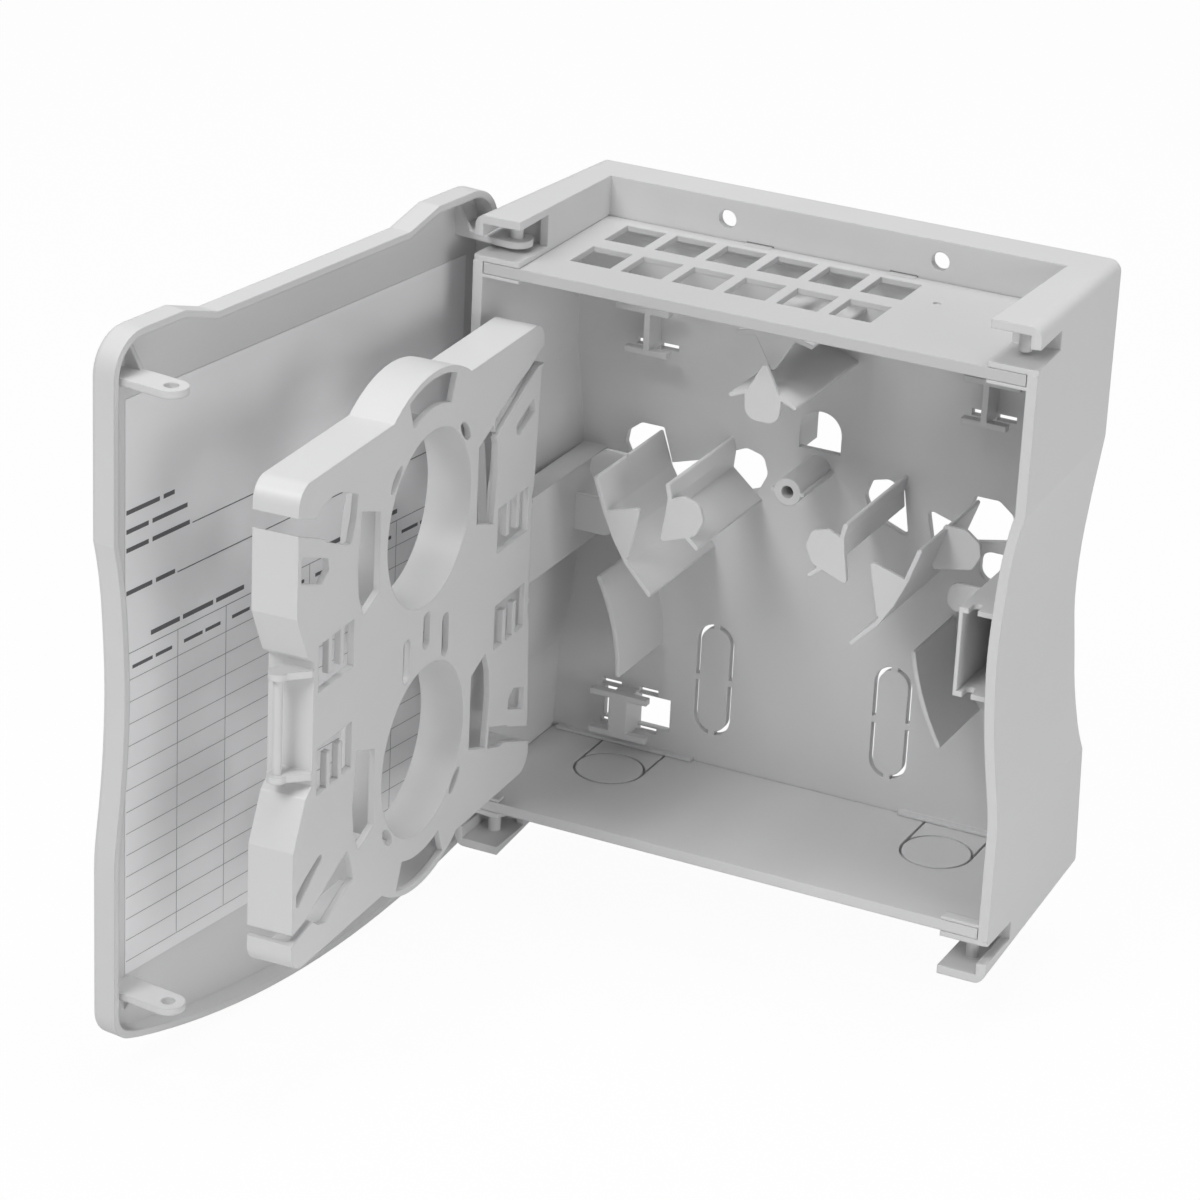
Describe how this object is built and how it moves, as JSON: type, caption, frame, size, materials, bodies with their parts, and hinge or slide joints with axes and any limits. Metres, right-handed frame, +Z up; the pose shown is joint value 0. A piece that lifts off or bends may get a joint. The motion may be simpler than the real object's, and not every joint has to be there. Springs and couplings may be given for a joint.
{
  "type": "fibre splice box",
  "caption": "Wall-mounted fibre splice box: a waisted moulded base with fibre guides, an adapter plate, a cable entry plate, a hinged cover and a swing-out splice tray.",
  "frame": {"origin": "midway between the two wall-screw holes, on the front face of the back plate, where the screw heads bear", "axes": "+X to the right across the box seen from the front, +Y into the wall, +Z up"},
  "size_m": [0.238, 0.258, 0.2542],
  "materials": {
    "housing_plastic": "fine satin moulding",
    "plate_plastic": "fine satin moulding",
    "cover_plastic": "fine satin moulding",
    "tray_plastic": "fine satin moulding",
    "label_paper": "printed paper"
  },
  "bodies": {
    "housing": {"base_housing": "housing_plastic", "adapter_plate": "plate_plastic", "cable_entry_plate": "plate_plastic"},
    "cover": {"cover": "cover_plastic", "cover_label": "label_paper"},
    "tray": {"splice_tray": "tray_plastic"}
  },
  "joints": [
    {"name": "cover_hinge", "type": "hinge", "parent": "housing", "child": "cover", "pos_m": [-0.0905, -0.0545, -0.1067], "axis": [0, 0, 1], "range_deg": [-4, 97.3]},
    {"name": "tray_hinge", "type": "hinge", "parent": "housing", "child": "tray", "pos_m": [-0.0842, -0.0608, -0.1067], "axis": [0, 0, 1], "range_deg": [-3.7, 87.9]}
  ],
  "couplings": [
    {"joint": "tray_hinge", "follows": "cover_hinge", "ratio": 0.9033}
  ]
}
